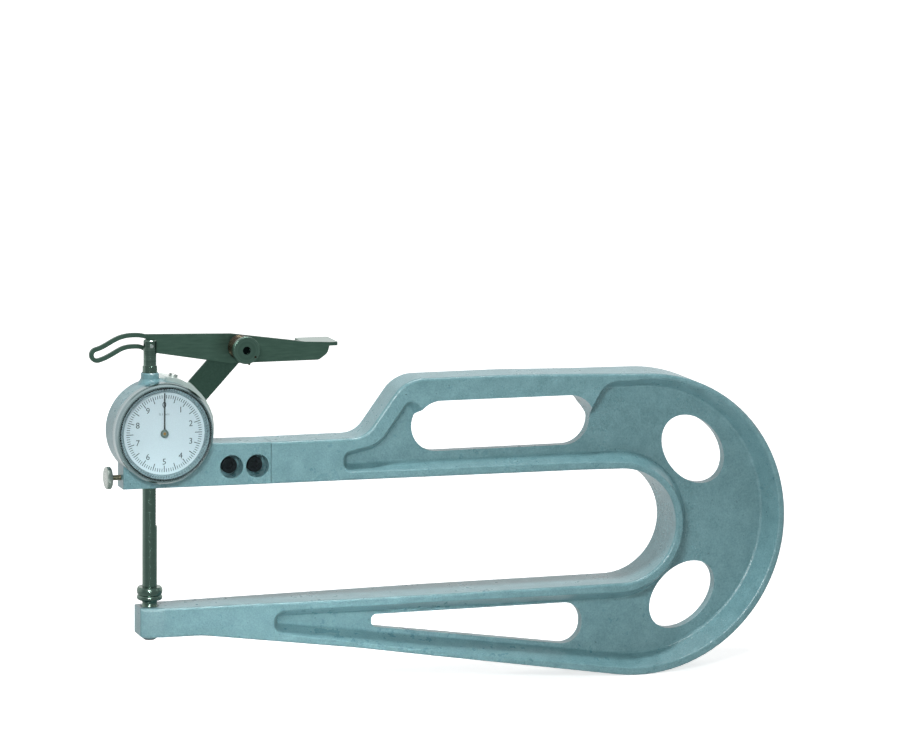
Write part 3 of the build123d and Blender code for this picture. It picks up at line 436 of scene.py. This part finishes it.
def makeEvenFinish(name):
    # even finish with a slight cloud in its colour
    dark, light, roughness, metallic = evenLook[name]
    tree, shader = startMaterial(name, {"Metallic": metallic, "Roughness": roughness})
    cloud = addNoise(tree, addCoordinates(tree), cloudScale)
    colour = blendColours(tree, carry(tree, cloud, noiseRange), dark, light)
    tree.links.new(colour, shader.inputs["Base Color"])
    addBump(tree, shader, cloud, cloudDepth)


# crystal over the dial

crystalLook = {
    "settings": {"Transmission Weight": 1.0, "IOR": 1.45, "Base Color": (1.0, 1.0, 1.0, 1.0)},
    "handling": 70.0,
    "roughest": 0.02,
}


def makeCrystal():
    tree, shader = startMaterial("clearCrystal", crystalLook["settings"])
    vector = addCoordinates(tree, dialCentre)
    mask = placeGroup(tree, handlingGroup, vector, Spread=crystalLook["handling"])["Mask"]
    roughness = carry(tree, mask, (0.0, 1.0), (0.0, crystalLook["roughest"]))
    tree.links.new(roughness, shader.inputs["Roughness"])


# which node has which finish

finishes = {
    "hammerEnamel": ("frame", "head_casting", "back_cover"),
    "groundSteel": ("spindle", "contact_disc", "anvil", "upper_bush", "lower_bush"),
    "turnedAluminium": ("bezel", "dial_ring"),
    "faceTurnedSteel": ("pivot_screw",),
    "knobSteel": ("clamp_knob",),
    "bracketSteel": ("lever_bracket",),
    "dullLeverSteel": ("lever",),
    "brightScrewSteel": ("cover_screws", "lift_pin", "plate_screws", "take_up_arbor", "bracket_screws",
                         "pivot_washer", "pivot_nut", "clamp_screw"),
    "blackOxide": ("lap_screws", "anvil_screw"),
    "springWire": ("hairspring", "torsion_spring", "spring_leg"),
    "turnedBrass": ("movement_plate", "rear_bridge", "pillars", "take_up_wheel", "hairspring_stud",
                    "clamp_pad"),
    "hubSteel": ("pointer_hub",),
    "pointerBlack": ("pointer",),
    "goldTip": ("pinion_arbor",),
    "dialEnamel": ("dial_face",),
    "clearCrystal": ("crystal",),
}


def giveFinishes():
    for finish, names in finishes.items():
        for name in names:
            mesh = nodes[name].data
            mesh.materials.clear()
            mesh.materials.append(materials[finish])
    nodes["crystal"].visible_shadow = False


print("materials")
makePaint()
for name in turnedLook:
    makeTurnedMetal(name)
for name in sheetFinishes:
    makeSheetMetal(name)
for name in evenLook:
    makeEvenFinish(name)
makeCrystal()
giveFinishes()


# mesh helpers

def placePiece(name, mesh):
    piece = bpy.data.objects.new(name, mesh)
    bpy.context.scene.collection.objects.link(piece)
    return piece


def meshFromArrays(name, vertices, faces, material):
    mesh = bpy.data.meshes.new(name)
    mesh.from_pydata(vertices.tolist(), [], faces)
    mesh.update()
    mesh.materials.append(material)
    piece = placePiece(name, mesh)
    fixNormals(piece)
    return piece


def fixNormals(piece):
    # turns every face outwards
    bpy.context.view_layer.objects.active = piece
    piece.select_set(True)
    bpy.ops.object.mode_set(mode="EDIT")
    bpy.ops.mesh.select_all(action="SELECT")
    bpy.ops.mesh.normals_make_consistent(inside=False)
    bpy.ops.object.mode_set(mode="OBJECT")
    piece.select_set(False)


def meshFromRings(name, points, material, sharpAngle):
    # points [ring, step, xyz]: quads join each ring to the next, a fan round its middle closes the
    # first ring and the last, and edges above the sharp angle stay sharp
    rings, steps = points.shape[:2]
    index = np.arange(rings * steps).reshape(rings, steps)
    grid = np.hstack([index, index[:, :1]])
    quads = np.stack([grid[:-1, :-1], grid[:-1, 1:], grid[1:, 1:], grid[1:, :-1]], -1).reshape(-1, 4)
    middles = np.array([points[0].mean(0), points[-1].mean(0)])
    vertices = np.vstack([points.reshape(-1, 3), middles])
    lowMiddle = np.full(steps, rings * steps)
    lowFan = np.stack([lowMiddle, np.roll(index[0], -1), index[0]], -1)
    highFan = np.stack([lowMiddle + 1, index[-1], np.roll(index[-1], -1)], -1)
    faces = quads.tolist() + lowFan.tolist() + highFan.tolist()
    piece = meshFromArrays(name, vertices, faces, material)
    mesh = piece.data
    mesh.polygons.foreach_set("use_smooth", np.ones(len(mesh.polygons), bool))
    mesh.update()
    mesh.set_sharp_from_angle(angle=math.radians(sharpAngle))
    return piece


# dial print

dialPrint = {
    "divisions": 100,
    "outerRadius": 20.9 * mm,
    "shortTick": 1.9 * mm,
    "middleTick": 3.9 * mm,
    "longTick": 3.5 * mm,
    "shortWidth": 0.34 * mm,
    "longWidth": 0.42 * mm,
    "inkHeight": 0.03 * mm,
    "numberRadius": 15.4 * mm,
    "numberSize": 4.6 * mm,
    "unit": "0.1 mm",
    "unitHeight": 10.4 * mm,
    "unitSize": 1.9 * mm,
}
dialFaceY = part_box("dial_face")[0].y


def makeTicks():
    # one thin bar for each division: its corners are worked out along the bar's own radius and
    # width, then carried to the dial's centre; every tenth and every fifth bar is longer
    look = dialPrint
    division = np.arange(look["divisions"])
    angle = division * fullTurn / look["divisions"]
    tenth = division % 10 == 0
    fifth = (division % 5 == 0) & ~tenth
    length = np.where(tenth, look["longTick"], np.where(fifth, look["middleTick"], look["shortTick"]))
    width = np.where(tenth | fifth, look["longWidth"], look["shortWidth"])
    along = np.stack([np.sin(angle), np.cos(angle)], -1)
    across = np.stack([np.cos(angle), -np.sin(angle)], -1)
    outer = along * look["outerRadius"]
    inner = along * (look["outerRadius"] - length)[:, None]
    side = across * (width / 2)[:, None]
    outline = np.stack([inner - side, inner + side, outer + side, outer - side], 1)
    corners = np.tile(outline, (1, 2, 1))
    depth = np.repeat([dialFaceY - look["inkHeight"], dialFaceY], 4)
    points = np.stack([dialCentre.x + corners[:, :, 0], np.broadcast_to(depth, corners.shape[:2]),
                       dialCentre.z + corners[:, :, 1]], -1)
    box = np.array([[0, 1, 2, 3], [7, 6, 5, 4], [0, 4, 5, 1], [1, 5, 6, 2], [2, 6, 7, 3], [3, 7, 4, 0]])
    cornersPerBar = points.shape[1]
    faces = (box[None] + cornersPerBar * division[:, None, None]).reshape(-1, 4).tolist()
    piece = meshFromArrays("dial_ticks", points.reshape(-1, 3), faces, materials["printInk"])
    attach(piece, "bezel")


def makeLettering(name, words, size, x, z, material):
    # flat text, made a thin solid that stands on the dial
    curve = bpy.data.curves.new(name, "FONT")
    curve.body = words
    curve.size = size
    curve.align_x = "CENTER"
    curve.align_y = "CENTER"
    curve.extrude = dialPrint["inkHeight"] / 2
    draft = placePiece(name + "_draft", curve)
    bpy.context.view_layer.update()
    finished = draft.evaluated_get(bpy.context.evaluated_depsgraph_get())
    mesh = bpy.data.meshes.new_from_object(finished)
    bpy.data.objects.remove(draft)
    stand = Matrix.Rotation(math.radians(90), 4, "X")
    mesh.transform(Matrix.Translation((x, dialFaceY - dialPrint["inkHeight"] / 2, z)) @ stand)
    mesh.materials.clear()
    mesh.materials.append(material)
    piece = placePiece(name, mesh)
    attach(piece, "bezel")


def makeNumbers():
    look = dialPrint
    for digit in range(10):
        turn = digit * fullTurn / 10
        makeLettering("dial_number_" + str(digit), str(digit), look["numberSize"],
                      dialCentre.x + look["numberRadius"] * math.sin(turn),
                      dialCentre.z + look["numberRadius"] * math.cos(turn), materials["printInk"])
    makeLettering("dial_unit", look["unit"], look["unitSize"], dialCentre.x,
                  dialCentre.z + look["unitHeight"], materials["greyInk"])


print("dial print")
makeTicks()
makeNumbers()


# clamp screw

clampLook = {
    "knurls": 64,
    "stepsPerKnurl": 4,
    "knurlDepth": 0.18 * mm,
    "edge": 0.45 * mm,
    "edgeStep": 0.1 * mm,
    "outerFlat": 0.55,  # shares of the knob's radius at which the middles of its two faces start
    "innerFlat": 0.3,
    "knobSharp": 30,
    "threadPitch": 0.5 * mm,
    "threadDepth": 0.14 * mm,
    "ringsPerPitch": 8,
    "threadSides": 32,
    "threadSharp": 50,
}


def saw(value):
    # 1 at whole numbers, 0 halfway between them, straight in between
    return np.abs((value % 1.0) - 0.5) * 2


def ringsAlongX(along, reach, angle):
    # rings about the clamp screw's axis, by their place along it, their radius and the angle
    return np.stack([np.broadcast_to(along[:, None], reach.shape), knobCentre.y + reach * np.cos(angle),
                     knobCentre.z + reach * np.sin(angle)], -1)


def makeKnob():
    # radius of a profile along X, less a saw of the angle that is full on the rim and 0 on the faces
    look = clampLook
    low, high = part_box("clamp_knob")
    radius = (high.z - low.z) / 2
    edge, step = look["edge"], look["edgeStep"]
    along, reach, rim = np.array([
        (low.x, look["outerFlat"] * radius, 0),
        (low.x, radius - 2 * edge, 0),
        (low.x + step, radius - edge, 0),
        (low.x + edge, radius - step, 0.4),
        (low.x + edge + step, radius, 1),
        (high.x - edge - step, radius, 1),
        (high.x - edge, radius - step, 0.4),
        (high.x - step, radius - edge, 0),
        (high.x, radius - 2 * edge, 0),
        (high.x, look["innerFlat"] * radius, 0),
    ]).T
    steps = look["stepsPerKnurl"] * look["knurls"]
    angle = np.arange(steps) * fullTurn / steps
    knurl = saw(angle * look["knurls"] / fullTurn) * look["knurlDepth"]
    points = ringsAlongX(along, reach[:, None] - rim[:, None] * knurl[None], angle)
    piece = meshFromRings("knurled_knob", points, materials["knobSteel"], look["knobSharp"])
    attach(piece, "clamp")
    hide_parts("clamp_knob")


def makeClampThread():
    # rod along X whose radius follows a saw of (distance / pitch - angle / full turn)
    look = clampLook
    low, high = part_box("clamp_screw")
    radius = (high.z - low.z) / 2
    rings = int((high.x - low.x) / look["threadPitch"] * look["ringsPerPitch"])
    along = np.linspace(low.x, high.x, rings)
    angle = np.arange(look["threadSides"]) * fullTurn / look["threadSides"]
    phase = (along[:, None] - low.x) / look["threadPitch"] - angle[None] / fullTurn
    points = ringsAlongX(along, radius - saw(phase) * look["threadDepth"], angle)
    piece = meshFromRings("clamp_thread", points, materials["threadSteel"], look["threadSharp"])
    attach(piece, "clamp")
    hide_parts("clamp_screw")


print("clamp screw")
makeKnob()
makeClampThread()


# lever spring

springLook = {
    "wire": 0.6 * mm,
    "coil": 6.1 * mm,
    "turns": 8,
    "pointsPerTurn": 40,
    "anchorAngle": -37.0,
    "endFrom": 0.1 * mm,  # the straight end in the screw's head, from the spring's front
    "endTo": 2.6 * mm,
    "endPoints": 6,
    "coilFrom": 0.004,  # share of the coil that the joint with the straight end takes up
    "sides": 14,
    "sharp": 50,
}


def tubeAlong(name, path, wire, sides, material, sharpAngle):
    # round wire: a circle carried along the path, square to it, with a frame that is turned as little
    # as possible from one point to the next
    tangent = np.gradient(path, axis=0)
    tangent /= np.linalg.norm(tangent, axis=1)[:, None]
    normal = np.zeros_like(path)
    upright = abs(tangent[0][2]) < 0.9
    seed = np.array([0.0, 0.0, 1.0]) if upright else np.array([1.0, 0.0, 0.0])
    current = seed - tangent[0] * (seed @ tangent[0])
    for n in range(len(path)):
        current = current - tangent[n] * (current @ tangent[n])
        current /= np.linalg.norm(current)
        normal[n] = current
    binormal = np.cross(tangent, normal)
    angle = (np.arange(sides) * fullTurn / sides)[None, :, None]
    points = path[:, None] + wire * (np.cos(angle) * normal[:, None] + np.sin(angle) * binormal[:, None])
    return meshFromRings(name, points, material, sharpAngle)


def aroundPivot(angle, depth):
    # points on the coil's cylinder about the pivot, by their angle and their depth
    reach = springLook["coil"]
    angle, depth = np.broadcast_arrays(angle, depth)
    return np.stack([pivotCentre.x + reach * np.cos(angle), depth, pivotCentre.z + reach * np.sin(angle)], -1)


def makeCoil():
    # helix about the pivot: angle grows evenly with depth; a short straight end goes into the head
    low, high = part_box("torsion_spring")
    look = springLook
    start = math.radians(look["anchorAngle"])
    endDepths = np.linspace(low.y + look["endFrom"], low.y + look["endTo"], look["endPoints"])
    headEnd = aroundPivot(start, endDepths)
    first = headEnd[-1][1] + look["wire"]
    last = high.y - look["wire"]
    share = np.linspace(look["coilFrom"], 1, look["turns"] * look["pointsPerTurn"])
    coil = aroundPivot(start - share * look["turns"] * fullTurn, first + share * (last - first))
    piece = tubeAlong("lever_spring", np.vstack([headEnd, coil]), look["wire"], look["sides"],
                      materials["springWire"], look["sharp"])
    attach(piece, "root")
    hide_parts("torsion_spring")


print("lever spring")
makeCoil()


# stage, light and camera

stageLook = {
    "floorHalf": 12.0,
    "floorGlow": 0.74,  # what the camera sees of the floor besides its light and shadow
    "floorShade": 0.8,
    "plain": (0.35, 0.8),  # from the nearer distance to the further one the floor turns plain white
    "mirrorFrom": (-0.1, 0.3),  # depths between which the mirrored floor turns into the backdrop
    "roomFrom": (-0.35, 0.35),  # directions between which the room's front turns into its back
    "roomFront": (0.14, 0.17, 0.165, 1.0),
    "roomBack": (1.0, 1.0, 1.0, 1.0),
    "roomStrength": 0.45,
    "mirrorFront": (0.34, 0.4, 0.39, 1.0),
    "backdrop": (1.0, 1.0, 1.0, 1.0),
}


def seenDirectly(tree, path):
    # 1 for what the camera sees, also through glass
    return addMath(tree, "MAXIMUM", path.outputs["Is Camera Ray"], path.outputs["Is Transmission Ray"])


def mixShaders(tree, share, first, second):
    mix = tree.nodes.new("ShaderNodeMixShader")
    for socket, value in zip(mix.inputs, (share, first, second)):
        tree.links.new(value, socket)
    return mix.outputs[0]


def makeFloorMaterial(middleX, height):
    # matt floor that keeps shadows, with a glow for the camera; metal mirrors it dark in front of
    # the gauge and white behind it
    look = stageLook
    material = bpy.data.materials.new("paleFloor")
    material.use_nodes = True
    tree = material.node_tree
    tree.nodes.clear()
    path = tree.nodes.new("ShaderNodeLightPath")
    vector = addCoordinates(tree, (middleX, 0, height))
    distance = tree.nodes.new("ShaderNodeVectorMath")
    distance.operation = "LENGTH"
    tree.links.new(vector, distance.inputs[0])
    plain = carry(tree, distance.outputs["Value"], look["plain"], (look["floorGlow"], 1.0), smooth=True)
    diffuse = tree.nodes.new("ShaderNodeBsdfDiffuse")
    diffuse.inputs["Color"].default_value = (look["floorShade"],) * 3 + (1.0,)
    glow = tree.nodes.new("ShaderNodeEmission")
    tree.links.new(addMath(tree, "MULTIPLY", seenDirectly(tree, path), plain), glow.inputs["Strength"])
    both = tree.nodes.new("ShaderNodeAddShader")
    tree.links.new(diffuse.outputs[0], both.inputs[0])
    tree.links.new(glow.outputs[0], both.inputs[1])
    behind = carry(tree, splitVector(tree, vector)[1], look["mirrorFrom"])
    mirrored = tree.nodes.new("ShaderNodeEmission")
    mirroredColour = blendColours(tree, behind, look["mirrorFront"], look["backdrop"])
    tree.links.new(mirroredColour, mirrored.inputs["Color"])
    chosen = mixShaders(tree, path.outputs["Is Glossy Ray"], both.outputs[0], mirrored.outputs[0])
    end = tree.nodes.new("ShaderNodeOutputMaterial")
    tree.links.new(chosen, end.inputs["Surface"])
    return material


def makeFloor():
    low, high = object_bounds()
    half = stageLook["floorHalf"]
    mesh = bpy.data.meshes.new("floor")
    corners = [(-half, -half, low.z), (half, -half, low.z), (half, half, low.z), (-half, half, low.z)]
    mesh.from_pydata(corners, [], [(0, 1, 2, 3)])
    mesh.materials.append(makeFloorMaterial((low.x + high.x) / 2, low.z))
    floor = placePiece("floor", mesh)


def makeWorld():
    # white to the camera and through glass; metal mirrors the white backdrop behind and a darker room
    # in front; the light is that of a pale room behind and a darker one in front
    look = stageLook
    world = bpy.data.worlds.new("studio")
    bpy.context.scene.world = world
    world.use_nodes = True
    tree = world.node_tree
    tree.nodes.clear()
    coordinates = tree.nodes.new("ShaderNodeTexCoord")
    depth = splitVector(tree, coordinates.outputs["Generated"])[1]
    behind = carry(tree, depth, look["roomFrom"], smooth=True)
    room = tree.nodes.new("ShaderNodeBackground")
    room.inputs["Strength"].default_value = look["roomStrength"]
    tree.links.new(blendColours(tree, behind, look["roomFront"], look["roomBack"]), room.inputs["Color"])
    path = tree.nodes.new("ShaderNodeLightPath")
    direct = seenDirectly(tree, path)
    shown = tree.nodes.new("ShaderNodeBackground")
    white = addMath(tree, "MAXIMUM", direct, behind)
    tree.links.new(blendColours(tree, white, look["mirrorFront"], look["backdrop"]), shown.inputs["Color"])
    seen = addMath(tree, "MAXIMUM", direct, path.outputs["Is Glossy Ray"])
    end = tree.nodes.new("ShaderNodeOutputWorld")
    tree.links.new(mixShaders(tree, seen, room.outputs[0], shown.outputs[0]), end.inputs["Surface"])


lamps = {
    "keyLamp": {
        "place": (-0.3, -0.86, 0.46), "aim": (0.15, 0, 0.03), "size": (0.22, 0.12),
        "spread": 180, "watts": 6.0,
    },
    "topLamp": {
        "place": (0.2, -0.2, 1.1), "aim": (0.15, 0, 0.03), "size": (0.4, 0.06),
        "spread": 180, "watts": 8.0,
    },
    "lowLamp": {
        "place": (-0.15, -0.8, 0.03), "aim": (0.1, 0, -0.06), "size": (0.14, 0.14),
        "spread": 20, "watts": 0.06,
    },
    "rightLamp": {
        "place": (1.3, -0.8, 0.5), "aim": (0.15, 0, 0.03), "size": (0.2, 0.6),
        "spread": 180, "watts": 0.5,
    },
}


def makeLamps():
    for name, look in lamps.items():
        light = bpy.data.lights.new(name, "AREA")
        light.shape = "RECTANGLE"
        light.size, light.size_y = look["size"]
        light.spread = math.radians(look["spread"])
        light.energy = look["watts"]
        lamp = placePiece(name, light)
        lamp.location = look["place"]
        lamp.rotation_mode = "QUATERNION"
        lamp.rotation_quaternion = (Vector(look["aim"]) - Vector(look["place"])).to_track_quat("-Z", "Y")


cameraLook = {
    "place": (-0.578554, -2.149920, 0.477761),
    "right": (0.94495, -0.32698, 0.01241),
    "up": (0.03957, 0.15185, 0.98761),
    "lens": 168.0,
    "sensor": 36.0,
    "near": 0.05,
    "far": 50.0,
}


def makeCamera():
    look = cameraLook
    data = bpy.data.cameras.new("camera")
    data.lens = look["lens"]
    data.sensor_width = look["sensor"]
    data.clip_start, data.clip_end = look["near"], look["far"]
    right = Vector(look["right"]).normalized()
    back = right.cross(Vector(look["up"])).normalized()
    up = back.cross(right)
    turn = Matrix((right, up, back)).transposed().to_4x4()
    camera = placePiece("camera", data)
    camera.matrix_world = Matrix.Translation(look["place"]) @ turn
    bpy.context.scene.camera = camera


print("stage, light and camera")
makeFloor()
makeWorld()
makeLamps()
makeCamera()
bpy.context.scene.view_settings.view_transform = "Standard"

print("done")
